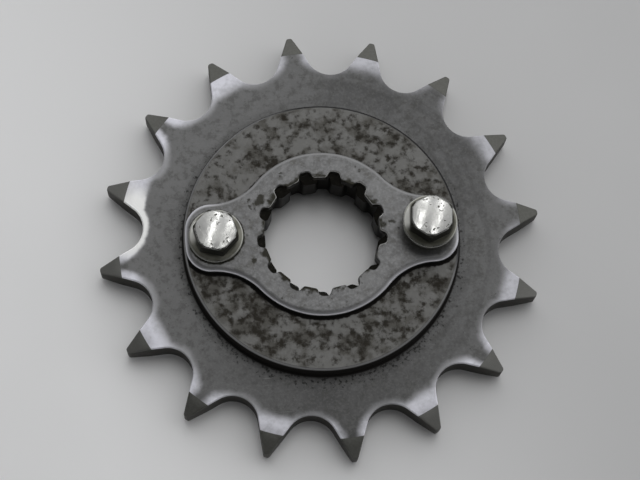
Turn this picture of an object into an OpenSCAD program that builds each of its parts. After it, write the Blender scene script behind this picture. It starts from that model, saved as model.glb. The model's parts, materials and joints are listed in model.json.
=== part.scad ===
// Sixteen-tooth motorcycle chain sprocket with a splined hub, the splined plate that
// locks it on the gearbox shaft, and the two flange bolts that hold the plate.
// Z is the bore axis and points out of the front. The back face of the toothed disc
// is z = 0, and both bolts lie on the X axis.

/* [Chain and teeth] */
// Number of teeth
tooth_count = 16; // [15:1:18]
// Chain pitch, pin to pin
chain_pitch = 15.875; // [15.5:0.125:16.5]
// Diameter of the chain's rollers, which the gaps between the teeth seat
roller_d = 10.16; // [10:0.04:10.4]
// Thickness of the toothed disc
disc_t = 5.9; // [5:0.1:8]
// Height of a tooth above the bottom of its gap
tooth_h = 8.7; // [8:0.1:9.2]
// Width of the flat on a tooth's tip
tip_w = 1.0; // [0.8:0.1:2]
// Radial width of the cone that thins each tooth towards its tip
bevel_w = 4.1; // [3:0.1:5]
// How far that cone cuts into each face at the tip
bevel_depth = 1; // [0.5:0.1:1.5]
// Turn of the teeth from the line through the bolts, in degrees
tooth_turn = 5.3; // [0:0.1:22.5]

/* [Hub] */
// Diameter of the raised hub
hub_d = 54.8; // [53:0.2:58]
// Height of the hub above the toothed disc
hub_h = 3.3; // [2:0.1:6]
// Chamfer round the hub's top edge
hub_chamfer = 0.5; // [0.2:0.1:1]

/* [Hub splines] */
// Number of splines, in the hub and in the plate
spline_count = 13; // [11:1:14]
// Diameter across the hub's spline crests
bore_crest_d = 22.5; // [22:0.1:23]
// Diameter across the hub's spline valleys
bore_valley_d = 25.2; // [24.8:0.1:26]
// How far the chamfer at each end of the bore reaches past the spline valleys
bore_chamfer = 0.2; // [0.1:0.1:0.6]
// Turn of the hub's spline crests from the line through the bolts, in degrees
bore_turn = 15.3; // [0:0.1:27.6]

/* [Retaining plate] */
// Thickness of the plate
plate_t = 1.8; // [1.2:0.1:3]
// Diameter of the plate's round middle
ring_d = 33.6; // [32:0.2:35]
// Distance from the axis to the end of an ear
ear_reach = 27; // [26:0.1:27.2]
// Width of an ear
ear_w = 13.8; // [13:0.1:14.4]
// Radius of an ear's outer corners
ear_corner_r = 5.1; // [4:0.1:6]
// Radius of the hollow between an ear and the round middle
ear_fillet_r = 12.2; // [10:0.1:14]
// Diameter across the plate's spline crests
plate_crest_d = 22.9; // [22.6:0.1:23.4]
// Diameter across the plate's spline valleys
plate_valley_d = 25.8; // [25:0.1:26.4]
// Turn of the plate's spline valleys from the line through the bolts, in degrees
plate_turn = 20; // [0:0.1:27.6]

/* [Bolts] */
// Distance between the bolts
bolt_spacing = 41.8; // [41:0.2:43]
// Thread diameter
bolt_d = 6; // [5:1:6]
// Length under the head
bolt_l = 10; // [8:1:11]
// Width of the hexagon across its flats
hex_af = 8; // [8:1:9]
// Height of the head, flange included
head_h = 4.9; // [4.5:0.1:6]
// Diameter of the flange
flange_d = 10.8; // [10.6:0.1:12]
// Thickness of the flange at its rim
flange_t = 0.9; // [0.6:0.1:1.2]
// How far the right-hand bolt is screwed out
right_bolt_out = 3.4; // [0:0.1:6]
// Direction of a corner of the left-hand hexagon, in degrees
left_hex_turn = 46; // [0:1:60]
// Direction of a corner of the right-hand hexagon, in degrees
right_hex_turn = 24; // [0:1:60]

/* [Hidden] */
$fn = 96;

// Overshoot that keeps a cut clear of the face that it goes through
eps = 0.5;
// Gap all round a bolt in its tapped hole
thread_gap = 0.05;
// Gap all round a bolt in the plate's plain hole
plate_hole_gap = 0.3;

pitch_r = chain_pitch / 2 / sin(180 / tooth_count);
root_r = pitch_r - roller_d / 2;
tip_r = root_r + tooth_h;
hub_z = disc_t + hub_h;
plate_z = hub_z + plate_t;
hub_r = hub_d / 2;
spline_step = 360 / spline_count;

// Half the width of a spline groove, as a share of the step from spline to spline
groove_mouth_share = 0.27;
groove_floor_share = 0.17;
groove_corner_r = 0.7;

// Height of the cone between a bolt's flange and its hexagon, and the chamfer on top
flange_slope_h = 0.5;
hex_chamfer_h = 0.5;
hex_chamfer_in = 0.5;
bolt_tip_chamfer = 0.7;

function polar(r, a) = [r * cos(a), r * sin(a)];

// Points of an arc, without its last one, so that arcs can be strung together
function arc(centre, r, from, to, steps) =
    [for (i = [0 : steps - 1]) centre + polar(r, from + (to - from) * i / steps)];

// Space between two teeth, centred on the X axis: a roller's seat with straight flanks
// that leave the seat as tangents and end at the corners of the two tips.
module tooth_gap() {
    seat_r = roller_d / 2;
    tip_corner = polar(tip_r, 180 / tooth_count - asin(tip_w / 2 / tip_r));
    out = tip_corner - [pitch_r, 0];
    reach = norm(out);
    touch_a = atan2(out.y, out.x) + acos(seat_r / reach);
    touch = [pitch_r, 0] + polar(seat_r, touch_a);
    past_tip = tip_corner + (tip_corner - touch) / 2;
    translate([pitch_r, 0]) circle(r = seat_r);
    polygon([
        touch, past_tip, [past_tip.x, -past_tip.y], [touch.x, -touch.y], [pitch_r, 0]
    ]);
}

// Toothed disc as a turned blank, thinned by a cone on both faces out at the tips
module disc_blank() {
    rotate_extrude()
        polygon([
            [0, 0],
            [tip_r - bevel_w, 0],
            [tip_r, bevel_depth],
            [tip_r, disc_t - bevel_depth],
            [tip_r - bevel_w, disc_t],
            [0, disc_t]
        ]);
}

module hub_blank() {
    rotate_extrude()
        polygon([
            [0, 0],
            [hub_r, 0],
            [hub_r, hub_z - hub_chamfer],
            [hub_r - hub_chamfer, hub_z],
            [0, hub_z]
        ]);
}

// Splined hole: a round hole at the crests with round-cornered grooves out to the valleys
module spline_hole(crest_d, valley_d) {
    crest_r = crest_d / 2;
    valley_r = valley_d / 2;
    floor_x = valley_r - groove_corner_r;
    floor_y = valley_r * sin(groove_floor_share * spline_step) - groove_corner_r;
    mouth = polar(crest_r - eps, groove_mouth_share * spline_step);
    circle(d = crest_d);
    for (i = [0 : spline_count - 1])
        rotate(i * spline_step) {
            for (side = [-1, 1])
                translate([floor_x, side * floor_y]) circle(r = groove_corner_r, $fn = 24);
            translate([floor_x, -floor_y]) square([groove_corner_r, 2 * floor_y]);
            polygon([
                mouth,
                [floor_x, floor_y + groove_corner_r],
                [floor_x, -floor_y - groove_corner_r],
                [mouth.x, -mouth.y]
            ]);
        }
}

// Cone of 45 degrees that opens one end of the splined bore, its wide end at z = 0
module bore_end_cut() {
    face_r = bore_valley_d / 2 + bore_chamfer;
    depth = face_r - bore_crest_d / 2 + eps;
    translate([0, 0, -eps]) cylinder(r1 = face_r + eps, r2 = face_r - depth, h = depth + eps);
}

module sprocket() {
    color("dimgray")
        difference() {
            union() {
                difference() {
                    disc_blank();
                    for (i = [0 : tooth_count - 1])
                        rotate(tooth_turn + (i + 0.5) * 360 / tooth_count)
                            translate([0, 0, -eps])
                                linear_extrude(disc_t + 2 * eps) tooth_gap();
                }
                hub_blank();
            }
            translate([0, 0, -eps])
                rotate(bore_turn + spline_step / 2)
                    linear_extrude(hub_z + 2 * eps) spline_hole(bore_crest_d, bore_valley_d);
            bore_end_cut();
            translate([0, 0, hub_z]) mirror([0, 0, 1]) bore_end_cut();
            for (side = [-1, 1])
                translate([side * bolt_spacing / 2, 0, -eps])
                    cylinder(d = bolt_d, h = hub_z + 2 * eps);
        }
}

// Outline of the retaining plate: a ring with an ear on each side for a bolt. A quarter
// runs from the ear's end round its corner, through the hollow and up the ring to the top.
module plate_outline() {
    ring_r = ring_d / 2;
    corner_y = ear_w / 2 - ear_corner_r;
    corner = [sqrt(pow(ear_reach - ear_corner_r, 2) - pow(corner_y, 2)), corner_y];
    corner_a = atan2(corner.y, corner.x);
    // The hollow's circle touches the ring and the ear's corner circle from outside
    to_axis = ring_r + ear_fillet_r;
    to_corner = ear_corner_r + ear_fillet_r;
    span = norm(corner);
    hollow_cos = (pow(to_axis, 2) + pow(span, 2) - pow(to_corner, 2)) / (2 * to_axis * span);
    hollow_a = corner_a + acos(hollow_cos);
    hollow = polar(to_axis, hollow_a);
    touch_a = atan2(hollow.y - corner.y, hollow.x - corner.x);
    quarter = concat(
        arc([0, 0], ear_reach, 0, corner_a, 3),
        arc(corner, ear_corner_r, corner_a, touch_a, 14),
        arc(hollow, ear_fillet_r, touch_a + 180, hollow_a + 180, 10),
        arc([0, 0], ring_r, hollow_a, 90, 12),
        [[0, ring_r]]
    );
    half = concat(quarter, [for (i = [len(quarter) - 2 : -1 : 1]) [-quarter[i].x, quarter[i].y]]);
    polygon(concat(half, -half));
}

module retaining_plate() {
    color("gray")
        translate([0, 0, hub_z])
            difference() {
                linear_extrude(plate_t) plate_outline();
                translate([0, 0, -eps])
                    rotate(plate_turn)
                        linear_extrude(plate_t + 2 * eps)
                            spline_hole(plate_crest_d, plate_valley_d);
                for (side = [-1, 1])
                    translate([side * bolt_spacing / 2, 0, -eps])
                        cylinder(r = bolt_d / 2 + plate_hole_gap, h = plate_t + 2 * eps);
            }
}

// Hexagon flange bolt with the underside of its flange at z = 0
module flange_bolt(corner_turn) {
    hex_corner_r = hex_af / 2 / cos(30);
    shank_r = bolt_d / 2 - thread_gap;
    rotate_extrude()
        polygon([
            [0, -bolt_l],
            [shank_r - bolt_tip_chamfer, -bolt_l],
            [shank_r, bolt_tip_chamfer - bolt_l],
            [shank_r, 0],
            [flange_d / 2, 0],
            [flange_d / 2, flange_t],
            [hex_af / 2, flange_t + flange_slope_h],
            [0, flange_t + flange_slope_h]
        ]);
    intersection() {
        rotate(corner_turn) cylinder(r = hex_corner_r, h = head_h, $fn = 6);
        rotate_extrude()
            polygon([
                [0, 0],
                [hex_corner_r + eps, 0],
                [hex_corner_r + eps, head_h - hex_chamfer_h],
                [hex_corner_r, head_h - hex_chamfer_h],
                [hex_corner_r - hex_chamfer_in, head_h],
                [0, head_h]
            ]);
    }
}

module bolt_left() {
    color("silver")
        translate([-bolt_spacing / 2, 0, plate_z]) flange_bolt(left_hex_turn);
}

module bolt_right() {
    color("silver")
        translate([bolt_spacing / 2, 0, plate_z + right_bolt_out]) flange_bolt(right_hex_turn);
}

sprocket();
retaining_plate();
bolt_left();
bolt_right();
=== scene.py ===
import json
import math

import bmesh
import bpy
import numpy as np
from mathutils import Matrix, Vector, geometry


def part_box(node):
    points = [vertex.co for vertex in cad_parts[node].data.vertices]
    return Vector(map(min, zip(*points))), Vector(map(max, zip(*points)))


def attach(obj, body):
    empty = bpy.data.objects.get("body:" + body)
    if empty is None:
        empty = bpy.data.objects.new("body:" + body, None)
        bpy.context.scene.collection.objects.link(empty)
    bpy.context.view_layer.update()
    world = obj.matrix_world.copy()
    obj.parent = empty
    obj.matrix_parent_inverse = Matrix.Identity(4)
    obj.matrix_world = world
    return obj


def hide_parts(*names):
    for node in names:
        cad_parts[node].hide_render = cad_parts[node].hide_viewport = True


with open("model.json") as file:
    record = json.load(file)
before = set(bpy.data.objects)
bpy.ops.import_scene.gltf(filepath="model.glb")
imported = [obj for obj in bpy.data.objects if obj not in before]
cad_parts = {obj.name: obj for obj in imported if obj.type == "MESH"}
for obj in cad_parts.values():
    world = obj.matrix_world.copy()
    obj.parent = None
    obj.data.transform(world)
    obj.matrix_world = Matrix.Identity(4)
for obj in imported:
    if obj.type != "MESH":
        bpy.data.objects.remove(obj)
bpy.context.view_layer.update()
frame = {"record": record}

# The looks of a worn chain sprocket, its splined retaining plate and two flange bolts.
# The mesh code works in millimetres, in the frame of the CAD model, and MM turns them into metres.

MM = 0.001
MOUNTS = {m["name"]: m for m in frame["record"]["mounts"]}


def span(node):
    """Lowest and highest corner of a CAD node in millimetres."""
    low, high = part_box(node)
    return low / MM, high / MM


# ---------------------------------------------------------------- sizes of the object
# The ends of the names say what a size is: _R a radius, _W a width, _H a height, _T a thickness, _AF a
# width across flats, _STEP the angle from one tooth or spline to the next, and _TURN where the first one
# is, in degrees from +X. HEAD_FOOT is the height above the seat where a bolt's hexagon starts.

DISC_T = MOUNTS["chain_teeth"]["dims"]["length_mm"]
TEETH = MOUNTS["chain_teeth"]["dims"]["count"]
PITCH_R = MOUNTS["chain_teeth"]["dims"]["pcd_mm"] / 2
SEAT_R = MOUNTS["chain_teeth"]["dims"]["r_mm"]
TOOTH_STEP = 360 / TEETH
TOOTH_TURN = 5.3
TOOTH_H = 8.7
TIP_R = PITCH_R - SEAT_R + TOOTH_H
TIP_W = 1.0
TIP_CORNER_R = 0.45
BEVEL_W = 4.1
BEVEL_R = TIP_R - BEVEL_W
BEVEL_DEPTH = 1.0

HUB_TOP = span("sprocket")[1].z
HUB_R = 27.4
HUB_CHAMFER = 0.5
HUB_WALL_TOP = HUB_TOP - HUB_CHAMFER

SPLINES = 13
SPLINE_STEP = 360 / SPLINES
HUB_CREST_R = MOUNTS["spline_bore"]["dims"]["r_mm"]
HUB_VALLEY_R = 12.6
HUB_SPLINE_TURN = 15.3 + SPLINE_STEP / 2
BORE_FACE_R = HUB_VALLEY_R + 0.2

PLATE_LOW, PLATE_HIGH = (corner.z for corner in span("retaining_plate"))
PLATE_CREST_R = MOUNTS["plate_splines"]["dims"]["r_mm"]
PLATE_VALLEY_R = 12.9
PLATE_SPLINE_TURN = 20.0
RING_R = span("retaining_plate")[1].y
EAR_REACH = span("retaining_plate")[1].x
EAR_W = 13.8
EAR_CORNER_R = 5.1
EAR_FILLET_R = 12.2
EAR_CORNER_Y = EAR_W / 2 - EAR_CORNER_R
EAR_CORNER = Vector((math.sqrt((EAR_REACH - EAR_CORNER_R) ** 2 - EAR_CORNER_Y ** 2), EAR_CORNER_Y))

BOLT_X = [(low.x + high.x) / 2 for low, high in (span("bolt_left"), span("bolt_right"))]
BOLT_HOLE_R = 3.0
PLATE_HOLE_R = 3.3
BOLT_R = 2.95
THREAD_PITCH = 1.0
HEAD_H = 4.9
HEAD_AF = 8.0
HEAD_FOOT = 1.35
FLANGE_R = 5.4
FLANGE_T = 0.9
FLANGE_ROLL = 0.25
FLANGE_FLAT_R = FLANGE_R - FLANGE_ROLL
DOME_R = 3.8
DOME_H = 0.2


# ---------------------------------------------------------------- outlines

def polar(radius, degrees):
    return Vector((radius * math.cos(math.radians(degrees)), radius * math.sin(math.radians(degrees))))


def turned(point, degrees):
    return Matrix.Rotation(math.radians(degrees), 2) @ point


def corner_arc(before, corner, after, radius):
    """The arc that rounds a corner of an outline with the material on its left."""
    back = (before - corner).normalized()
    on = (after - corner).normalized()
    half = back.angle(on) / 2
    centre = corner + (back + on).normalized() * radius / math.sin(half)
    start = corner + back * radius / math.tan(half) - centre
    end = corner + on * radius / math.tan(half) - centre
    first = math.degrees(math.atan2(start.y, start.x))
    last = math.degrees(math.atan2(end.y, end.x))
    sweep = (last - first + 180) % 360 - 180
    bulge = 1 if sweep > 0 else -1
    return centre, radius * bulge, first, first + sweep


def trace(arcs, chord, straight):
    """Closed outline as (point, normal) pairs: arcs in steps of about chord, joined by straight lines.

    An arc is (centre, radius, start, end), with a negative radius where the material is outside it."""
    outline = []
    for centre, radius, start, end in arcs:
        size = abs(radius)
        steps = max(2, math.ceil(math.radians(abs(end - start)) * size / chord))
        points = []
        for i in range(steps + 1):
            out = polar(1, start + (end - start) * i / steps)
            points.append((centre + out * size, out * math.copysign(1, radius)))
        if outline:
            join(outline, points[0], straight)
        outline += points
    join(outline, outline[0], straight)
    return outline


def join(outline, towards, straight):
    """Adds the inner points of a straight line from the outline's end, or drops the end if they meet."""
    here, normal = outline[-1]
    there = towards[0]
    gap = (there - here).length
    if gap < 1e-6:
        outline.pop()
        return
    steps = math.ceil(gap / straight)
    outline += [(here.lerp(there, i / steps), normal) for i in range(1, steps)]


def inset(outline, depth):
    """The outline's points, moved into the material."""
    return [point - normal * depth for point, normal in outline]


def tooth_outline():
    """Roller seats with straight flanks that leave them as tangents and meet the tips."""
    corner = polar(TIP_R, TOOTH_STEP / 2 - math.degrees(math.asin(TIP_W / 2 / TIP_R)))
    out = corner - Vector((PITCH_R, 0))
    touch = Vector((PITCH_R, 0)) + polar(
        SEAT_R, math.degrees(math.atan2(out.y, out.x) + math.acos(SEAT_R / out.length)))
    flank = corner - touch
    valley = touch - flank * touch.y / flank.y
    arcs = []
    for i in range(TEETH):
        turn = TOOTH_TURN + (i + 0.5) * TOOTH_STEP
        right = Vector((corner.x, -corner.y))
        left = corner
        next_right = turned(right, TOOTH_STEP)
        last_left = turned(left, -TOOTH_STEP)
        for before, at, after, radius in (
            (last_left, right, valley, TIP_CORNER_R),
            (right, valley, left, SEAT_R),
            (valley, left, next_right, TIP_CORNER_R),
        ):
            arcs.append(corner_arc(turned(before, turn), turned(at, turn), turned(after, turn), radius))
    return trace(arcs, chord=0.35, straight=0.45)


def spline_outline(crest_r, valley_r, turn, valley_share, crest_round, valley_round):
    """Splined hole, run clockwise so that the material is on its left. Each groove's floor takes
    valley_share of the step to either side of its middle, and its mouth takes mouth_share."""
    mouth_share = 0.27
    corners = []
    for i in range(SPLINES):
        groove = turn - i * SPLINE_STEP
        for radius, share, rounding in (
            (crest_r, 0.5, None),
            (crest_r, mouth_share, crest_round),
            (valley_r, valley_share, valley_round),
            (valley_r, -valley_share, valley_round),
            (crest_r, -mouth_share, crest_round),
        ):
            corners.append((polar(radius, groove + share * SPLINE_STEP), rounding))
    arcs = []
    for i, (at, rounding) in enumerate(corners):
        if rounding:
            before = corners[i - 1][0]
            after = corners[(i + 1) % len(corners)][0]
            arcs.append(corner_arc(before, at, after, rounding))
    return trace(arcs, chord=0.12, straight=0.5)


def plate_outline():
    """A ring with two ears: each ear's end and corners, the hollows beside it, and the ring between."""
    corner = EAR_CORNER
    corner_a = math.degrees(math.atan2(corner.y, corner.x))
    to_axis = RING_R + EAR_FILLET_R
    to_corner = EAR_CORNER_R + EAR_FILLET_R
    cosine = (to_axis ** 2 + corner.length ** 2 - to_corner ** 2) / (2 * to_axis * corner.length)
    hollow_a = corner_a + math.degrees(math.acos(cosine))
    hollow = polar(to_axis, hollow_a)
    touch_a = math.degrees(math.atan2(hollow.y - corner.y, hollow.x - corner.x))
    low_corner = Vector((corner.x, -corner.y))
    low_hollow = Vector((hollow.x, -hollow.y))
    half = [
        (low_hollow, -EAR_FILLET_R, 180 - hollow_a, 180 - touch_a),
        (low_corner, EAR_CORNER_R, -touch_a, -corner_a),
        (Vector((0, 0)), EAR_REACH, -corner_a, corner_a),
        (corner, EAR_CORNER_R, corner_a, touch_a),
        (hollow, -EAR_FILLET_R, touch_a + 180, hollow_a + 180),
        (Vector((0, 0)), RING_R, hollow_a, 180 - hollow_a),
    ]
    other = [(-centre, radius, start + 180, end + 180) for centre, radius, start, end in half]
    return trace(half + other, chord=0.35, straight=0.5)


def circle(radius, count, centre=(0, 0)):
    return [Vector(centre) + polar(radius, 360 * i / count) for i in range(count)]


# ---------------------------------------------------------------- meshes

class Skin:
    """The faces of one closed mesh, in millimetres. Vertices in one place are one vertex, and the edges
    between two patches stay sharp."""

    def __init__(self):
        self.points = []
        self.number = {}
        self.faces = []
        self.patches = []
        self.patch = 0

    def new_patch(self):
        self.patch += 1

    def vertex(self, point):
        key = tuple(round(c, 4) for c in point)
        if key not in self.number:
            self.number[key] = len(self.points)
            self.points.append(key)
        return self.number[key]

    def face(self, corners):
        ids = [self.vertex(p) for p in corners]
        ids = [n for i, n in enumerate(ids) if n != ids[i - 1]]
        if len(set(ids)) > 2:
            self.faces.append(ids)
            self.patches.append(self.patch)

    def bands(self, loops):
        """Quads between closed loops of points, each with the next, all in one patch."""
        self.new_patch()
        for low, high in zip(loops, loops[1:]):
            for i in range(len(low)):
                self.face([low[i - 1], low[i], high[i], high[i - 1]])

    def cap(self, outer, holes, height, creases=()):
        """Fills the space between flat loops. height is a function that gives z for (x, y)."""
        self.new_patch()
        flat, edges = [], []
        for loop in [outer, *holes]:
            first = len(flat)
            flat += [(p[0], p[1]) for p in loop]
            edges += [(first + i, first + (i + 1) % len(loop)) for i in range(len(loop))]
        for line in creases:
            first = len(flat)
            flat += [(p[0], p[1]) for p in line]
            edges += [(first + i, first + i + 1) for i in range(len(line) - 1)]
        triangles_inside, nearness = 1, 1e-5
        made, _, triangles, origins, _, _ = geometry.delaunay_2d_cdt(
            [Vector(p) for p in flat], edges, [], triangles_inside, nearness)
        spots = [flat[o[0]] if o else tuple(p) for p, o in zip(made, origins)]
        centres = np.array([np.mean([spots[v] for v in t], axis=0) for t in triangles])
        keep = inside(centres, outer)
        for hole in holes:
            keep &= ~inside(centres, hole)
        for triangle, kept in zip(triangles, keep):
            if kept:
                self.face([(*spots[v], height(*spots[v])) for v in triangle])

    def build(self, name, material, node):
        """Makes the piece that replaces a node and rides on the body of the same name."""
        mesh = bpy.data.meshes.new(name)
        sheet = bmesh.new()
        corners = [sheet.verts.new([c * MM for c in p]) for p in self.points]
        layer = sheet.faces.layers.int.new("patch")
        for ids, patch in zip(self.faces, self.patches):
            made = sheet.faces.new([corners[n] for n in ids])
            made[layer] = patch
            made.smooth = True
        bmesh.ops.recalc_face_normals(sheet, faces=sheet.faces)
        for edge in sheet.edges:
            edge.smooth = len({f[layer] for f in edge.link_faces}) == 1
        sheet.to_mesh(mesh)
        sheet.free()
        mesh.materials.append(material)
        piece = bpy.data.objects.new(name, mesh)
        bpy.context.scene.collection.objects.link(piece)
        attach(piece, node)
        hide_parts(node)


def inside(points, loop):
    """Which of an array of points lie inside a closed loop."""
    ring = np.array([(p[0], p[1]) for p in loop])
    after = np.roll(ring, -1, axis=0)
    x, y = points[:, :1], points[:, 1:]
    crosses = (ring[:, 1] > y) != (after[:, 1] > y)
    rise = np.where(after[:, 1] == ring[:, 1], 1, after[:, 1] - ring[:, 1])
    at = ring[:, 0] + (y - ring[:, 1]) * (after[:, 0] - ring[:, 0]) / rise
    return (np.sum(crosses & (x < at), axis=1) % 2).astype(bool)


def lift(loop, height):
    """A flat loop at one height, or at the height that a function gives for each (x, y)."""
    if callable(height):
        return [(p[0], p[1], height(p[0], p[1])) for p in loop]
    return [(p[0], p[1], height) for p in loop]


def rolled_edge(outline, across, down, height, steps=4):
    """Loops round the rolled edge of a face at height, from the face to the wall. down is negative
    where the wall goes up from the face."""
    face = inset(outline, across)
    loops = []
    for i in range(steps + 1):
        a = math.pi / 2 * i / steps
        drop = down * (1 - math.cos(a))
        flat = inset(outline, across * (1 - math.sin(a)))
        loops.append([(p[0], p[1], height(f[0], f[1]) - drop) for p, f in zip(flat, face)])
    return loops


def level(z):
    return lambda x, y: z


def disc_front(x, y):
    return DISC_T - BEVEL_DEPTH * max(0, (math.hypot(x, y) - BEVEL_R) / BEVEL_W)


def disc_back(x, y):
    return DISC_T - disc_front(x, y)


def bore_end(x, y):
    """Depth of the cone at either end of the bore below the face."""
    return max(0, BORE_FACE_R - math.hypot(x, y))


def snap_to_bevel(outline, depth):
    """Moves points along the flanks so that the inset loop has one just on the bevel's circle."""
    face = inset(outline, depth)
    snapped = list(outline)
    count = len(face)
    for i in range(count):
        before, here = face[i - 1], face[i]
        if (before.length > BEVEL_R) != (here.length > BEVEL_R):
            share = (BEVEL_R - before.length) / (here.length - before.length)
            near = i if share > 0.5 else (i - 1) % count
            normal = outline[near][1]
            spot = before.lerp(here, share)
            spot = spot * (BEVEL_R / spot.length)
            snapped[near] = (spot + normal * depth, normal)
    return snapped


def crease_lines(outline, depth):
    """Arcs on the bevel's circle across each tooth, from one snapped point to the other."""
    face = inset(outline, depth)
    on = [i for i, p in enumerate(face) if abs(p.length - BEVEL_R) < 1e-4]
    lines = []
    for first, last in zip(on, on[1:] + on[:1]):
        start, end = face[first], face[last]
        if tooth_between(start, end):
            a = math.degrees(math.atan2(start.y, start.x))
            sweep = (math.degrees(math.atan2(end.y, end.x)) - a + 180) % 360 - 180
            inner = [polar(BEVEL_R, a + sweep * i / 8) for i in range(1, 8)]
            lines.append([start, *inner, end])
    return lines


def tooth_between(start, end):
    """Whether two points on the bevel's circle are on the two flanks of one tooth."""
    middle = (start + end) / 2
    a = (math.degrees(math.atan2(middle.y, middle.x)) - TOOTH_TURN) % TOOTH_STEP
    return min(a, TOOTH_STEP - a) < 1


def threaded_hole(skin, x, low, high):
    """A tapped hole's wall: a lead-in cone at both ends and grooves that wind round between them.
    Returns the loop that the wall ends in."""
    columns, rows_per_turn, lead, groove_depth = 36, 8, 0.35, 0.3
    rows = round((high - low - 2 * lead) / THREAD_PITCH * rows_per_turn)
    mouth = circle(BOLT_HOLE_R + lead, columns, (x, 0))
    loops = [lift(mouth, low)]
    for j in range(rows + 1):
        z = low + lead + (high - low - 2 * lead) * j / rows
        fade = min(1, j / rows_per_turn, (rows - j) / rows_per_turn)
        loop = []
        for i in range(columns):
            turn = (z / THREAD_PITCH - i / columns) % 1
            groove = groove_depth * fade * (1 - abs(2 * turn - 1))
            spot = Vector((x, 0)) + polar(BOLT_HOLE_R + groove, 360 * i / columns)
            loop.append((spot.x, spot.y, z))
        loops.append(loop)
    loops.append(lift(mouth, high))
    skin.bands(loops)
    return mouth


def make_sprocket(material):
    skin = Skin()
    edge = 0.2
    outline = snap_to_bevel(tooth_outline(), edge)
    creases = crease_lines(outline, edge)
    front = rolled_edge(outline, edge, edge, disc_front)
    back = rolled_edge(outline, edge, -edge, disc_back)
    skin.bands(front + back[::-1])

    foot, segments = 0.15, 192
    rim = HUB_R - HUB_CHAMFER
    profile = [(HUB_R + foot, DISC_T)]
    for i in range(1, 4):
        a = math.pi / 2 * i / 3
        profile.append((HUB_R + foot * (1 - math.sin(a)), DISC_T + foot * (1 - math.cos(a))))
    profile.append((HUB_R, HUB_WALL_TOP))
    skin.bands([lift(circle(r, segments), z) for r, z in profile])
    chamfer = [(HUB_R, HUB_WALL_TOP), (rim, HUB_TOP)]
    skin.bands([lift(circle(r, segments), z) for r, z in chamfer])

    skin.cap(front[0], [circle(HUB_R + foot, segments)], disc_front, creases)
    holes = [threaded_hole(skin, x, 0, HUB_TOP) for x in BOLT_X]
    bore_mouth = circle(BORE_FACE_R, 130)
    skin.cap(circle(rim, segments), [bore_mouth, *holes], level(HUB_TOP))
    skin.cap(back[0], [bore_mouth, *holes], disc_back, creases)

    outline = spline_outline(HUB_CREST_R, HUB_VALLEY_R, HUB_SPLINE_TURN,
                             valley_share=0.17, crest_round=0.8, valley_round=0.6)
    splines = [point for point, _ in outline]
    skin.cap(bore_mouth, [splines], lambda x, y: HUB_TOP - bore_end(x, y))
    skin.cap(bore_mouth, [splines], bore_end)
    skin.bands([lift(splines, bore_end), lift(splines, lambda x, y: HUB_TOP - bore_end(x, y))])
    skin.build("sprocket_worn", material, "sprocket")


def make_plate(material):
    skin = Skin()
    outline = plate_outline()
    splines = spline_outline(PLATE_CREST_R, PLATE_VALLEY_R, PLATE_SPLINE_TURN,
                             valley_share=0.15, crest_round=0.6, valley_round=0.85)
    top, bottom = level(PLATE_HIGH), level(PLATE_LOW)
    roll_w, roll_drop, foot_roll = 1.1, 0.6, 0.15
    mouth_roll, mouth_foot_roll, hole_lead = 0.22, 0.12, 0.2
    rim = rolled_edge(outline, roll_w, roll_drop, top, 7)
    foot = rolled_edge(outline, foot_roll, -foot_roll, bottom, 2)
    skin.bands(rim + foot[::-1])
    mouth = rolled_edge(splines, mouth_roll, mouth_roll, top, 3)
    mouth_foot = rolled_edge(splines, mouth_foot_roll, -mouth_foot_roll, bottom, 2)
    skin.bands(mouth + mouth_foot[::-1])
    top_holes, bottom_holes = [], []
    for x in BOLT_X:
        wide = circle(PLATE_HOLE_R + hole_lead, 48, (x, 0))
        narrow = circle(PLATE_HOLE_R, 48, (x, 0))
        skin.bands([lift(wide, PLATE_HIGH), lift(narrow, PLATE_HIGH - hole_lead)])
        skin.bands([lift(narrow, PLATE_HIGH - hole_lead), lift(narrow, PLATE_LOW)])
        top_holes.append(wide)
        bottom_holes.append(narrow)
    skin.cap(rim[0], [mouth[0], *top_holes], top)
    skin.cap(foot[0], [mouth_foot[0], *bottom_holes], bottom)
    skin.build("plate_pressed", material, "retaining_plate")


def bolt_circle(x, radius):
    return circle(radius, 72, (x, 0))


def bolt_shank(skin, x, bottom, seat, under):
    """The shank from its tip to the flange's underside, with a thread that runs out below the neck."""
    minor, neck = 2.42, BOLT_R - 0.08
    tip, lead, neck_length, fillet = 0.6, 0.2, 0.7, 0.15
    thread_high = seat - neck_length
    rows_per_turn = 8
    rows = round((thread_high - bottom - tip) / THREAD_PITCH * rows_per_turn)
    core = bolt_circle(x, minor)
    columns = len(core)
    loops = [
        [(x, 0, bottom)] * columns,
        lift(bolt_circle(x, minor - lead), bottom),
        lift(core, bottom + lead),
    ]
    for j in range(rows + 1):
        z = bottom + tip + (thread_high - bottom - tip) * j / rows
        fade = min(1, j / rows_per_turn)
        runout = min(1, (rows - j) / rows_per_turn * 2)
        root = minor * runout + neck * (1 - runout)
        loop = []
        for i in range(columns):
            turn = ((z - bottom) / THREAD_PITCH - i / columns) % 1
            ridge = min(1, 1.25 * (1 - abs(2 * turn - 1)))
            spot = Vector((x, 0)) + polar(root + (BOLT_R - root) * ridge * fade, 360 * i / columns)
            loop.append((spot.x, spot.y, z))
        loops.append(loop)
    loops += [lift(bolt_circle(x, neck), z) for z in (thread_high + lead, seat - fillet)]
    loops.append(lift(bolt_circle(x, BOLT_R), under))
    skin.bands(loops)


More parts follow.
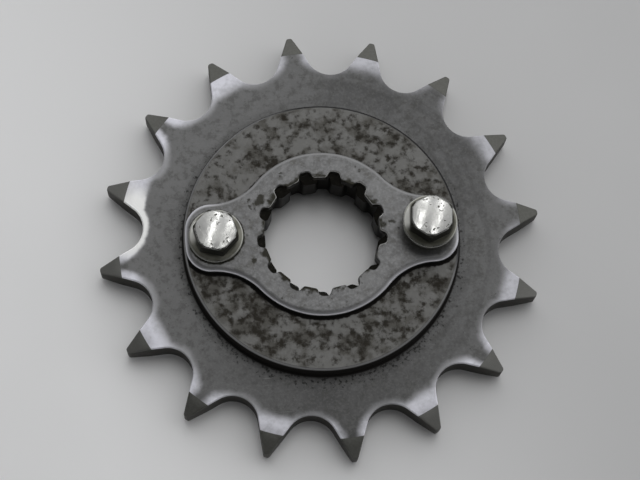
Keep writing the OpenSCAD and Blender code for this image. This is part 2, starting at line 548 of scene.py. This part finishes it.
def bolt_flange(skin, x, seat, under):
    """The flange's underside and its rounded rim."""
    skin.bands([lift(bolt_circle(x, r), under) for r in (BOLT_R, FLANGE_FLAT_R)])
    rim = []
    for i in range(7):
        a = math.pi * (i / 6 - 0.5)
        middle = seat + FLANGE_T - FLANGE_ROLL if i > 3 else under + FLANGE_ROLL
        loop = bolt_circle(x, FLANGE_FLAT_R + FLANGE_ROLL * math.cos(a))
        rim.append(lift(loop, middle + FLANGE_ROLL * math.sin(a)))
    skin.bands(rim)


def bolt_head(skin, x, seat, top, corner_turn, crown_off):
    """The flange's slope up to the hexagon, the hexagon and its chamfered top, whose slight dome peaks
    at crown_off along X from the bolt's axis."""
    corner_r, round_r = HEAD_AF / 2 / math.cos(math.radians(30)), 0.6
    corners = [polar(corner_r, corner_turn + 60 * i) for i in range(6)]
    arcs = [corner_arc(corners[i - 1], corners[i], corners[(i + 1) % 6], round_r) for i in range(6)]
    hexagon = [(p + Vector((x, 0)), normal) for p, normal in trace(arcs, 0.12, 0.4)]
    foot = [p for p, _ in hexagon]
    slope_w = 0.9
    cone_r, cone_slope = 3.95, 1.3

    def slope(px, py):
        out = math.hypot(px - x, py)
        climb = min(1, max(0, (FLANGE_FLAT_R - out) / slope_w))
        return seat + FLANGE_T + (HEAD_FOOT - FLANGE_T) * climb

    def crown(px, py):
        out = math.hypot(px - x, py)
        dome = DOME_H * (math.hypot(px - x - crown_off, py) / DOME_R) ** 2
        return top - dome - max(0, out - cone_r) * cone_slope

    def held_in(loop, radius):
        """The loop's points, with those further from the bolt's axis than the radius drawn in to it."""
        axis = Vector((x, 0))
        return [axis + (p - axis) * min(1, radius / (p - axis).length) for p in loop]

    skin.cap(bolt_circle(x, FLANGE_FLAT_R), [foot], slope)
    edge_w, edge_drop = 0.32, 0.45
    edge = rolled_edge(hexagon, edge_w, edge_drop, crown, 4)
    skin.bands([lift(foot, slope), *edge[::-1]])
    face = inset(hexagon, edge_w)
    rings = [face] + [held_in(face, r) for r in (cone_r, DOME_R, 3.2, 2.6, 2, 1.4, 0.8, 0.4)]
    skin.bands([lift(ring, crown) for ring in rings[:3]])
    skin.bands([lift(ring, crown) for ring in rings[2:]] + [[(x, 0, crown(x, 0))] * len(face)])


def make_bolt(node, x, corner_turn, crown_off, material):
    skin = Skin()
    bottom, top = (corner.z for corner in span(node))
    seat = top - HEAD_H
    # The flange stops just above the plate, so that the two faces don't share a plane.
    under = seat + 0.02
    bolt_shank(skin, x, bottom, seat, under)
    bolt_flange(skin, x, seat, under)
    bolt_head(skin, x, seat, top, corner_turn, crown_off)
    skin.build(node + "_plated", material, node)


# ---------------------------------------------------------------- materials

class Amount:
    """A number that a material's nodes work out at each point of a surface."""

    def __init__(self, tree, socket):
        self.tree = tree
        self.socket = socket

    def math(self, operation, *others):
        node = self.tree.nodes.new("ShaderNodeMath")
        node.operation = operation
        for slot, value in zip(node.inputs, (self, *others)):
            plug(self.tree, slot, value)
        return Amount(self.tree, node.outputs[0])

    def __add__(self, other):
        return self.math("ADD", other)

    def __sub__(self, other):
        return self.math("SUBTRACT", other)

    def __mul__(self, other):
        return self.math("MULTIPLY", other)

    def __neg__(self):
        return self * -1

    def __invert__(self):
        """The mask of everywhere else."""
        return -self + 1

    def __abs__(self):
        return self.math("ABSOLUTE")

    def least(self, other):
        return self.math("MINIMUM", other)

    def most(self, other):
        return self.math("MAXIMUM", other)

    def root(self):
        return self.math("SQRT")

    def rise(self, start, end):
        """0 up to start and 1 from end on, with a soft step between. A start above end makes it fall."""
        node = self.tree.nodes.new("ShaderNodeMapRange")
        node.interpolation_type = "SMOOTHSTEP"
        for name, value in (("Value", self), ("From Min", start), ("From Max", end)):
            plug(self.tree, node.inputs[name], value)
        return Amount(self.tree, node.outputs["Result"])


def plug(tree, slot, value):
    if isinstance(value, Amount):
        tree.links.new(value.socket, slot)
    else:
        slot.default_value = value


def hypotenuse(across, up):
    return (across * across + up * up).root()


def rgba(colour):
    """A socket's colour from three numbers, or from one for a grey."""
    return (*colour, 1) if isinstance(colour, tuple) else (colour, colour, colour, 1)


class Surface:
    """A material built up from a first finish and the coats laid over it. Its coordinates are the CAD
    model's at rest, in millimetres, and they move with the piece."""

    def __init__(self, name, colour, metallic, roughness):
        self.material = bpy.data.materials.new(name)
        self.material.use_nodes = True
        self.tree = self.material.node_tree
        self.shader = self.tree.nodes["Principled BSDF"]
        self.shader.inputs["Specular IOR Level"].default_value = 0.12
        self.finish = {"Base Color": rgba(colour), "Metallic": metallic, "Roughness": roughness}
        texture = self.tree.nodes.new("ShaderNodeTexCoord")
        scaled = self.tree.nodes.new("ShaderNodeVectorMath")
        scaled.operation = "SCALE"
        scaled.inputs["Scale"].default_value = 1 / MM
        self.tree.links.new(texture.outputs["Object"], scaled.inputs[0])
        self.place = scaled.outputs["Vector"]
        split = self.tree.nodes.new("ShaderNodeSeparateXYZ")
        self.tree.links.new(self.place, split.inputs[0])
        self.x, self.y, self.z = (Amount(self.tree, out) for out in split.outputs)
        self.r = self.away_from(0)
        self.angle = self.y.math("ARCTAN2", self.x)

    def away_from(self, x, y=0):
        """Distance from the line along Z through (x, y)."""
        return hypotenuse(self.x - x, self.y - y)

    def noise(self, grain, detail=2, seed=0, stretch=(1, 1, 1), place=None, ragged=0.5):
        """Noise about 0.5 with blots about as wide as the grain, in millimetres. The finer detail shows
        more, the more ragged it is, and each seed gives another pattern."""
        mapping = self.tree.nodes.new("ShaderNodeMapping")
        mapping.inputs["Location"].default_value = (seed * 17.3, seed * 5.1, seed * 9.7)
        mapping.inputs["Scale"].default_value = [1 / (grain * s) for s in stretch]
        self.tree.links.new(place or self.place, mapping.inputs["Vector"])
        node = self.tree.nodes.new("ShaderNodeTexNoise")
        node.inputs["Scale"].default_value = 1
        node.inputs["Detail"].default_value = detail
        node.inputs["Roughness"].default_value = ragged
        self.tree.links.new(mapping.outputs["Vector"], node.inputs["Vector"])
        return Amount(self.tree, node.outputs["Fac"])

    def round_place(self):
        """Coordinates that run along a circle, outward and along Z, for marks left by turning."""
        middle_r = 20
        joined = self.tree.nodes.new("ShaderNodeCombineXYZ")
        for slot, value in zip(joined.inputs, (self.angle * middle_r, self.r, self.z)):
            plug(self.tree, slot, value)
        return joined.outputs[0]

    def coat(self, mask, colour=None, metallic=None, roughness=None):
        """Lays a finish over the earlier ones where the mask is 1."""
        wanted = {"Base Color": colour and rgba(colour), "Metallic": metallic, "Roughness": roughness}
        for name, value in wanted.items():
            under = self.finish[name]
            if value is None or value == under:
                continue
            mix = self.tree.nodes.new("ShaderNodeMix")
            mix.data_type = "RGBA" if name == "Base Color" else "FLOAT"
            slots = [s for s in mix.inputs if s.enabled]
            plug(self.tree, slots[0], mask)
            plug(self.tree, slots[1], under)
            plug(self.tree, slots[2], value)
            self.finish[name] = Amount(self.tree, next(s for s in mix.outputs if s.enabled))

    def done(self, height, strength=0.5):
        """Plugs the finish in, with a bump whose height is in millimetres."""
        for name, value in self.finish.items():
            plug(self.tree, self.shader.inputs[name], value)
        bump = self.tree.nodes.new("ShaderNodeBump")
        bump.inputs["Strength"].default_value = strength
        bump.inputs["Distance"].default_value = MM
        plug(self.tree, bump.inputs["Height"], height)
        self.tree.links.new(bump.outputs["Normal"], self.shader.inputs["Normal"])
        return self.material


def disc_stains_and_painted_light(s, grain, mottle):
    """Mottled steel, darker below and paler to the left and a little to the lower right, with smears,
    scratches and dark marks. The paler parts are painted light, where more light falls.
    """
    s.coat(mottle.rise(0.45, 0.66), 0.165)
    s.coat(mottle.rise(0.5, 0.36), (0.108, 0.107, 0.103))
    s.coat(s.noise(8, 3, 18).rise(0.58, 0.36) * 0.6, 0.1)
    smear = s.noise(2.2, 3, 33, (6, 1, 1), s.round_place()).rise(0.5, 0.68) * (s.x + s.y).rise(-25, 0)
    s.coat(smear * 0.55, (0.085, 0.085, 0.084))
    s.coat((-s.y - s.x * 0.15).rise(5, 36) * 0.45, (0.085, 0.085, 0.083))
    # Painted light: paler towards the left, and a little towards the lower right, where more light
    # falls.
    paler = (-s.x + s.y * 0.25).rise(-10, 36) * 0.66
    s.coat(paler.most((s.x - s.y * 0.4).rise(20, 40) * 0.3), (0.255, 0.255, 0.253))
    s.coat(mottle.rise(0.53, 0.38) * 0.5, (0.108, 0.108, 0.104))
    s.coat(grain.rise(0.42, 0.7) * 0.25, (0.25, 0.25, 0.245))
    scratch = s.noise(0.3, 2, 24, (12, 1, 1)).rise(0.66, 0.72) * s.noise(7, 2, 25).rise(0.5, 0.6)
    s.coat(scratch * 0.4, 0.3)
    marks = s.noise(0.9, 4, 19, ragged=0.6).rise(0.66, 0.74) * s.noise(6, 2, 26).rise(0.45, 0.55)
    s.coat(marks * 0.7, (0.03, 0.028, 0.025), 0.6, 0.6)


def chain_wear_and_painted_light(s, grain, mottle):
    """Dark bevels and walls on the teeth, the bevels paler where more light falls, which is painted
    light, and the polish that the chain leaves, with a painted highlight on it at the left. Returns the
    masks of the disc's front face and of the polish."""
    drop = (s.r - BEVEL_R).most(0) * (BEVEL_DEPTH / BEVEL_W)
    front = (s.z + drop).rise(DISC_T - 0.22, DISC_T - 0.14)
    rear = (s.z - drop).rise(0.22, 0.14)
    face = front.most(rear)
    toothed = s.r.rise(33, 34)
    s.coat(~face * toothed, (0.042, 0.04, 0.034), 0.7, 0.5)
    past_bevel = s.r.rise(BEVEL_R - 0.02, BEVEL_R + 0.02)
    bevel = face * past_bevel
    s.coat(bevel, (0.097, 0.097, 0.088), 0.9, 0.5)
    s.coat(bevel * grain.rise(0.35, 0.7) * 0.5, (0.125, 0.125, 0.117))
    # Painted light: the bevels are paler on the left and the lower right, where more light falls on
    # them.
    bevels_paler_where_lit = (-s.x).rise(28, 42).most((s.x - s.y).rise(44, 56))
    s.coat(bevel * bevels_paler_where_lit * 0.6, (0.16, 0.16, 0.152))

    # The side plates of the chain polish a band along each gap, and the whole of every second tooth.
    fold = (s.angle - math.radians(TOOTH_TURN + TOOTH_STEP)).math("PINGPONG", math.radians(TOOTH_STEP))
    along = s.r * fold.math("COSINE")
    across = s.r * fold.math("SINE")
    wobble = (s.noise(5, 2, 3) - 0.5) * 1.6 + (s.noise(1.2, 3, 10) - 0.5) * 0.6
    # The polish is smaller and fainter towards the upper right and the bottom; its fainter look towards
    # the bottom is painted shade.
    polish_fade = (s.x + s.y * 0.7).rise(-5, 45).most(s.y.rise(-15, -38) * 0.35)
    gap = polar(PITCH_R + 1.2, TOOTH_STEP / 2)
    gap_reach = SEAT_R + 2.55
    tooth_reach = 5.5
    round_gap = hypotenuse(along - gap.x, across - gap.y) - gap_reach + polish_fade * 1.2
    on_tooth = (abs(along - gap.x) - tooth_reach).most((across - gap.y) * 4) + polish_fade * 1.5
    rubbed = (round_gap.least(on_tooth) + wobble).rise(polish_fade * 0.8 + 0.4, polish_fade * -1.4 - 1)
    rubbed = rubbed * face * ~past_bevel * toothed * (polish_fade * -0.45 + 1)
    s.coat(rubbed * 0.85, (0.42, 0.42, 0.43), 1, 0.42)
    brightest = rubbed * (s.r + wobble).rise(35, 38.5) * (mottle.rise(0.3, 0.6) * 0.4 + 0.6)
    s.coat(brightest, (0.78, 0.78, 0.84), 1, 0.34)
    # Painted highlight: the polish is brighter still round a spot on the left.
    glint_centre = polar(38.5, 172)
    near_glint = (s.away_from(glint_centre.x, glint_centre.y) + wobble * 2).rise(9, 5)
    painted_glint = rubbed.rise(0.15, 1.05) * near_glint * 0.95
    s.coat(painted_glint, (0.97, 0.97, 0.95), 1, 0.32)
    return front, rubbed


def hub_rust(s, top):
    """Patches of rust on the hub's face, haze with darker pits. Returns the mask of the pits."""
    hub = s.z.rise(DISC_T + 0.3, DISC_T + 0.5) * s.r.rise(HUB_R + 0.1, HUB_R)
    s.coat(hub, (0.118, 0.117, 0.112), 0.9, 0.48)
    s.coat(hub * s.noise(1.4, 6, 4, ragged=0.7).rise(0.45, 0.65) * 0.7, (0.135, 0.134, 0.13))
    worst = s.away_from(-14, -14).rise(9, 3)
    patches = s.noise(7, 3, 5).rise(0.36, 0.6) + worst * 0.8
    haze = s.noise(2.6, 4, 6, ragged=0.6) + patches * 0.15 - s.y.most(0) * 0.0015
    haze = haze.rise(0.46, 0.72) * top
    pits = (s.noise(1.35, 4, 17, ragged=0.6) + haze * 0.12).rise(0.5, 0.75) * top
    s.coat(haze * 0.75, (0.065, 0.062, 0.054), 0.85, 0.55)
    s.coat(pits * s.r.rise(26.9, 26.3), (0.03, 0.027, 0.022), 0.6, 0.65)
    return pits


def hub_grime_and_shade(s, top, front):
    """The hub's chamfer and black wall, and the black band, softer shade and specks on the disc round
    its foot. The wall and the band are grime with painted shade, the softer shade is painted shade and
    the specks are dirt.
    """
    hub_side = s.r.rise(HUB_R - 1, HUB_R - 0.7)
    chamfer = hub_side * ~top * s.z.rise(HUB_WALL_TOP - 0.05, HUB_WALL_TOP + 0.05)
    s.coat(chamfer, 0.2, 1, 0.45)
    # The chamfer is black towards the upper right.
    darker_upper_right = (s.x + s.y * 2).rise(5, 20) * (s.x * 2 + s.y * 0.8).rise(-6, 16)
    s.coat(chamfer * darker_upper_right, 0.03)
    # The wall is black all round, partly grime and partly painted shade.
    wall = s.z.rise(DISC_T - 0.05, DISC_T + 0.1) * s.z.rise(HUB_WALL_TOP + 0.03, HUB_WALL_TOP - 0.05)
    s.coat(wall * hub_side, 0.006, 0, 0.8)

    round_hub = front * s.r.rise(HUB_R - 0.2, HUB_R)
    # Painted shade: the disc is darker near the hub's foot on the left and below.
    painted_shade_near_hub = s.r.rise(HUB_R + 2.4, HUB_R + 0.2) * (s.x + s.y.least(0)).rise(5, -15)
    s.coat(round_hub * painted_shade_near_hub * 0.5, (0.055, 0.055, 0.052))
    cleaner = (s.r - HUB_R) * 0.055 + s.y * 0.0028 - (-s.x).rise(8, 18) * s.y.rise(-4, 8) * 0.05
    specks = (s.noise(0.6, 4, 7, ragged=0.65) - cleaner).rise(0.51, 0.59)
    # A black band round the hub's foot, painted shadow with grime, and specks of dirt further out.
    foot = (s.r + s.y * 0.01).rise(HUB_R + 0.55, HUB_R + 0.2)
    s.coat(round_hub * foot.most(specks * 0.7), (0.009, 0.008, 0.007), 0, 0.8)


def plate_print_and_shadow(s, top):
    """Black on the hub along the plate's outline, wider below, which is painted shadow with some grime,
    and stains under the plate, shown by a lifted plate.
    """
    ear_out = abs(s.x) - EAR_CORNER.x
    ear_up = abs(s.y) - EAR_CORNER.y
    ear = hypotenuse(ear_out.most(0), ear_up.most(0)) + ear_out.most(ear_up).least(0) - EAR_CORNER_R
    off_plate = (s.r - RING_R).math("SMOOTH_MIN", ear, 7)
    # Painted shadow with some grime: black along the plate's outline, wider below.
    under = (off_plate + (s.noise(0.7, 3, 8) - 0.5) * 0.6 - s.y.rise(3, -3) * 0.3).rise(0.4, 0.15) * top
    s.coat(under, (0.007, 0.006, 0.005), 0, 0.8)
    hidden = (off_plate + (s.noise(2.2, 4, 29) - 0.5) * 3).rise(-0.7, -1.6) * top
    s.coat(hidden, (0.055, 0.052, 0.046), 0.85, 0.55)


def dark_bores(s):
    """The splined bore and the two tapped holes."""
    bore = s.r.rise(BORE_FACE_R + 0.05, BORE_FACE_R - 0.1)
    for x in BOLT_X:
        bore = bore.most(s.away_from(x).rise(BOLT_HOLE_R + 0.6, BOLT_HOLE_R + 0.3))
    s.coat(bore, (0.013, 0.012, 0.009), 0.5, 0.4)
    s.coat(bore * s.noise(1.2, 4, 28, ragged=0.6).rise(0.55, 0.7), (0.035, 0.031, 0.024), 0.6, 0.5)


def sprocket_steel():
    """Dull steel, polished where the chain rubs, rusty on the hub and black in its corners, with painted
    light and shade: paler where more light falls, and the black in the corners partly grime and partly
    painted shade.
    """
    s = Surface("sprocket_steel", (0.145, 0.145, 0.143), 0.9, 0.46)
    grain = s.noise(0.45, 3, 2)
    mottle = s.noise(1.6, 6, 1, ragged=0.7)
    hub_top = s.z.rise(HUB_TOP - 0.1, HUB_TOP - 0.02)
    disc_stains_and_painted_light(s, grain, mottle)
    front, rubbed = chain_wear_and_painted_light(s, grain, mottle)
    pits = hub_rust(s, hub_top)
    hub_grime_and_shade(s, hub_top, front)
    plate_print_and_shadow(s, hub_top)
    dark_bores(s)
    tool_marks = s.noise(0.25, 2, 9, (40, 1, 40), s.round_place())
    return s.done(grain * 0.03 + tool_marks * 0.012 * ~rubbed - pits * 0.04, 0.6)


def plate_steel():
    """Satin pressed steel: bright along its rolled edge, partly polish and partly painted highlight, and
    black where it meets the hub and the shaft, partly grime and partly painted shade.
    """
    s = Surface("plate_steel", 0.105, 0.95, 0.42)
    mottle = s.noise(1.8, 6, 11, ragged=0.7)
    grain = s.noise(0.5, 4, 12)
    s.coat(mottle.rise(0.45, 0.64), 0.135)
    s.coat(mottle.rise(0.5, 0.36), (0.085, 0.084, 0.08))
    s.coat(s.noise(8, 3, 20).rise(0.5, 0.65) * 0.4, 0.15)
    s.coat(grain.rise(0.45, 0.72) * 0.3, 0.22)
    top = s.z.rise(PLATE_HIGH - 0.02, PLATE_HIGH - 0.005)
    outer = s.r.rise(14.5, 15)
    # The rolled edge is paler, partly polish and partly painted highlight, and palest below and on the
    # left, which is painted highlight.
    rolled = s.z.rise(PLATE_HIGH - 0.005, PLATE_HIGH - 0.12) * outer
    s.coat(rolled, 0.22, 1, 0.5)
    highlight_side = s.y.rise(2, -4).most(s.x.rise(-18, -23))
    painted_highlight_roll = s.z.rise(PLATE_HIGH - 0.02, PLATE_HIGH - 0.3) * outer * highlight_side
    s.coat(painted_highlight_roll, (0.6, 0.6, 0.63), 1, 0.45)
    # Black on the wall below the rolled edge and on the underside, partly grime and partly painted
    # shade.
    wall = s.z.rise(PLATE_HIGH - 0.42, PLATE_HIGH - 0.58)
    s.coat(wall, (0.007, 0.007, 0.006), 0, 0.8)
    grease = (s.r + (s.noise(2.5, 4, 13, ragged=0.6) - 0.5) * 7).rise(12.3, 11.2)
    s.coat(grease, (0.03, 0.029, 0.023), 0.7, 0.5)
    # Painted highlight along the upper edges of the spline notches.
    lip_highlight = s.z.rise(PLATE_HIGH - 0.005, PLATE_HIGH - 0.04) * ~outer
    lip_highlight = lip_highlight * s.noise(2.4, 2, 34).rise(0.4, 0.55) * (s.y + s.x * 0.4).rise(-4, 4)
    s.coat(lip_highlight, (0.5, 0.5, 0.48), 1, 0.4)
    notch = s.z.rise(PLATE_HIGH - 0.08, PLATE_HIGH - 0.18) * ~outer
    s.coat(notch, (0.012, 0.011, 0.008), 0.4, 0.45)
    s.coat(notch * mottle.rise(0.5, 0.62), (0.045, 0.039, 0.029), 0.6, 0.5)
    # Darker on the spline crests at the lower left.
    darker_lower_left_crests = s.r.rise(12.1, 11.8) * s.x.rise(1, -1) * s.y.rise(-4, -6)
    s.coat(darker_lower_left_crests, (0.024, 0.022, 0.016), 0.6, 0.5)

    # The larger stains, beside the bore on the left
    for x, y, size in ((-12.0, 7.1, 1.4), (-10.8, 4.8, 1.2), (-13.5, -5.2, 0.6)):
        stain = (s.away_from(x, y) + (mottle - 0.5) * size * 3).rise(size, size * 0.4)
        s.coat(stain * top * 0.85, (0.035, 0.033, 0.025), 0.6, 0.6)
    spots = s.noise(1.3, 5, 14, ragged=0.6).rise(0.6, 0.7) * s.noise(6, 2, 15).rise(0.46, 0.6)
    s.coat(spots * top * 0.8, (0.035, 0.033, 0.025), 0.6, 0.6)

    # Grime round the left bolt's flange, and a softer dark ring where the right bolt's flange has
    # lifted, partly stain and partly painted shadow
    for x, dark_ring_r, fade in zip(BOLT_X, (5.45, 3.8), (0.3, 2.4)):
        ring = (s.away_from(x) + (s.noise(0.8, 3, 16) - 0.5) * 0.8).rise(dark_ring_r + fade, dark_ring_r)
        s.coat(ring * top, (0.03, 0.029, 0.022), 0.2, 0.6)
    return s.done(grain * 0.03 - spots * 0.03, 0.6)


def bolt_plating(name, x, seat, crown_off, dark_ring_r):
    """Bright plating with pits on the head, an olive stain on the flange, and black on the flange out to
    the radius given, which is painted shade with grime.
    """
    s = Surface("plating_" + name, (0.3, 0.3, 0.29), 1, 0.13)
    out = s.away_from(x)
    top = seat + HEAD_H
    cloud = s.noise(2.4, 4, 21)
    s.coat(cloud.rise(0.4, 0.65) * 0.7, (0.22, 0.22, 0.21), None, 0.26)
    pits = s.noise(0.6, 3, 22).rise(0.6, 0.67) * s.noise(3, 2, 27).rise(0.48, 0.58)
    pits = pits * s.z.rise(top - 0.5, top - 0.3)
    s.coat(pits, (0.1, 0.1, 0.085), None, 0.6)
    off_crown = s.away_from(x + crown_off)
    dome = off_crown * off_crown * (DOME_H / DOME_R ** 2)
    below_face = (-dome + top - s.z).rise(0.06, 0.14)
    inner = out.rise(FLANGE_FLAT_R, FLANGE_R - 0.4)
    # The hexagon's sides are dark, partly grime and partly painted shade.
    s.coat(below_face * inner, (0.035, 0.035, 0.028), None, 0.4)
    flange = s.z.rise(seat + HEAD_FOOT + 0.05, seat + HEAD_FOOT - 0.05) * inner
    s.coat(flange, (0.2, 0.197, 0.165), 0.3, 0.5)
    # Black round the hexagon's foot, painted shade with grime.
    s.coat(flange * out.rise(dark_ring_r, dark_ring_r - 0.5), (0.035, 0.035, 0.028), 0.5, 0.5)
    s.coat(flange * cloud.rise(0.55, 0.4) * 0.5, (0.06, 0.06, 0.045), None, 0.55)
    # Painted shade: the flange is darker on its lower side.
    s.coat(flange * s.y.rise(-0.5, -3.5) * 0.5, (0.07, 0.07, 0.055))
    # Painted highlight: a pale crescent on the left of the flange.
    painted_crescent = (s.x - x).rise(-3.5, -4.2) * s.y.rise(-2, 0) * s.y.rise(4.3, 3)
    s.coat(flange * painted_crescent, (0.62, 0.62, 0.58), 0.2, 0.45)
    rim = s.z.rise(seat + FLANGE_T + 0.05, seat + FLANGE_T) * out.rise(FLANGE_R - 0.5, FLANGE_R - 0.3)
    s.coat(rim * cloud.rise(0.3, 0.55), (0.3, 0.3, 0.27), None, 0.35)
    # Painted shade: dark under the flange, on its underside and on the shank just below it.
    s.coat(s.z.rise(seat + 0.3, seat), (0.05, 0.05, 0.04), None, 0.5)
    s.coat(s.z.rise(seat - 0.1, seat - 0.2), (0.2, 0.2, 0.19), None, 0.4)
    return s.done(s.noise(1.6, 2, 23) * 0.04 - pits * 0.05, 0.5)


def floor_paint():
    """Plain pale paint with a slight gloss, a little lighter towards the left and in the bore, which is
    painted light.
    """
    s = Surface("floor_paint", (0.475, 0.475, 0.472), 0, 0.38)
    s.shader.inputs["Specular IOR Level"].default_value = 0.9
    # Painted light: paler towards the left and a little towards the bottom, and paler in the bore to
    # lift the object's shade there.
    s.coat((s.x + s.y * 0.35).rise(60, -70).most(s.r.rise(14, 9)), (0.81, 0.81, 0.805))
    s.coat(s.noise(60, 3, 31).rise(0.4, 0.65) * 0.15, (0.6, 0.6, 0.595))
    return s.done(s.noise(0.8, 2, 32) * 0.01, 0.2)


make_sprocket(sprocket_steel())
make_plate(plate_steel())
for node, x, corner_turn, crown_off, dark_ring_r in (
    ("bolt_left", BOLT_X[0], 46, -0.8, 4.6),
    ("bolt_right", BOLT_X[1], 24, 0.8, 5.0),
):
    plating = bolt_plating(node, x, span(node)[1].z - HEAD_H, crown_off, dark_ring_r)
    make_bolt(node, x, corner_turn, crown_off, plating)


# ---------------------------------------------------------------- floor, light and camera

def make_floor(reach):
    mesh = bpy.data.meshes.new("floor")
    corners = [(-reach, -reach, 0), (reach, -reach, 0), (reach, reach, 0), (-reach, reach, 0)]
    mesh.from_pydata(corners, [], [(0, 1, 2, 3)])
    mesh.materials.append(floor_paint())
    floor = bpy.data.objects.new("floor", mesh)
    bpy.context.scene.collection.objects.link(floor)


def make_world(dark_side):
    """A pale room on every side but one, which is dark so that the steel isn't pale all over."""
    world = bpy.data.worlds.new("studio")
    bpy.context.scene.world = world
    world.use_nodes = True
    tree = world.node_tree
    background = tree.nodes["Background"]
    background.inputs["Color"].default_value = (0.98, 0.985, 1.0, 1)
    texture = tree.nodes.new("ShaderNodeTexCoord")
    towards = tree.nodes.new("ShaderNodeVectorMath")
    towards.operation = "DOT_PRODUCT"
    towards.inputs[1].default_value = dark_side
    tree.links.new(texture.outputs["Generated"], towards.inputs[0])
    split = tree.nodes.new("ShaderNodeSeparateXYZ")
    tree.links.new(texture.outputs["Generated"], split.inputs[0])
    near_horizon = Amount(tree, split.outputs["Z"]).rise(0.6, 0.3)
    pale = Amount(tree, towards.outputs["Value"]).rise(0.2, -0.5)
    plug(tree, background.inputs["Strength"], pale.most(near_horizon * 0.5) * 1.22 + 0.05)


def softbox(name, place, size, glow, swing):
    """A rectangular light that faces the middle of the object. size is its width along X and its
    length, in metres as its place is, glow is its watts per square metre, and swing turns its width
    from +X towards +Y, in degrees."""
    data = bpy.data.lights.new(name, "AREA")
    data.shape = "RECTANGLE"
    data.size, data.size_y = size
    data.energy = glow * size[0] * size[1]
    lamp = bpy.data.objects.new(name, data)
    bpy.context.scene.collection.objects.link(lamp)
    back = Vector(place).normalized()
    side = polar(1, swing).to_3d()
    side = (side - back * side.dot(back)).normalized()
    axes = Matrix((side, back.cross(side), back)).transposed()
    lamp.matrix_world = Matrix.Translation(place) @ axes.to_4x4()
    lamp.visible_camera = False


make_floor(1.5)
make_world((-0.48, -0.88, 0))

# Two long tubes overhead, which show as streaks on the bolt heads
softbox("tube_left", (-0.02, 0.36, 1.15), (0.035, 0.75), 28, -18)
softbox("tube_right", (0.205, 0.36, 1.15), (0.035, 0.75), 24, -18)

# The camera stands in front of the sprocket, a little below its middle, and looks at the disc's face.
# CAMERA_FROM is its direction round Z and its tilt away from Z, and CAMERA_UP is the picture's upward
# direction round Z, in degrees. The distance is in millimetres.
CAMERA_FROM = (-100.97, 16.93)
CAMERA_DISTANCE = 331.4
CAMERA_UP = 86.64
CAMERA_AIM = Vector((-0.26, -0.05, DISC_T))
azimuth, tilt = (math.radians(a) for a in CAMERA_FROM)
back = Vector((math.cos(azimuth) * math.sin(tilt), math.sin(azimuth) * math.sin(tilt), math.cos(tilt)))
up = polar(1, CAMERA_UP).to_3d()
right = up.cross(back).normalized()
camera_data = bpy.data.cameras.new("camera")
camera_data.lens = 93.4
camera_data.sensor_width = 36
camera_data.clip_start = 0.01
camera = bpy.data.objects.new("camera", camera_data)
bpy.context.scene.collection.objects.link(camera)
turn = Matrix((right, back.cross(right), back)).transposed()
camera.matrix_world = Matrix.Translation((CAMERA_AIM + back * CAMERA_DISTANCE) * MM) @ turn.to_4x4()
bpy.context.scene.camera = camera
bpy.context.scene.view_settings.view_transform = "Standard"
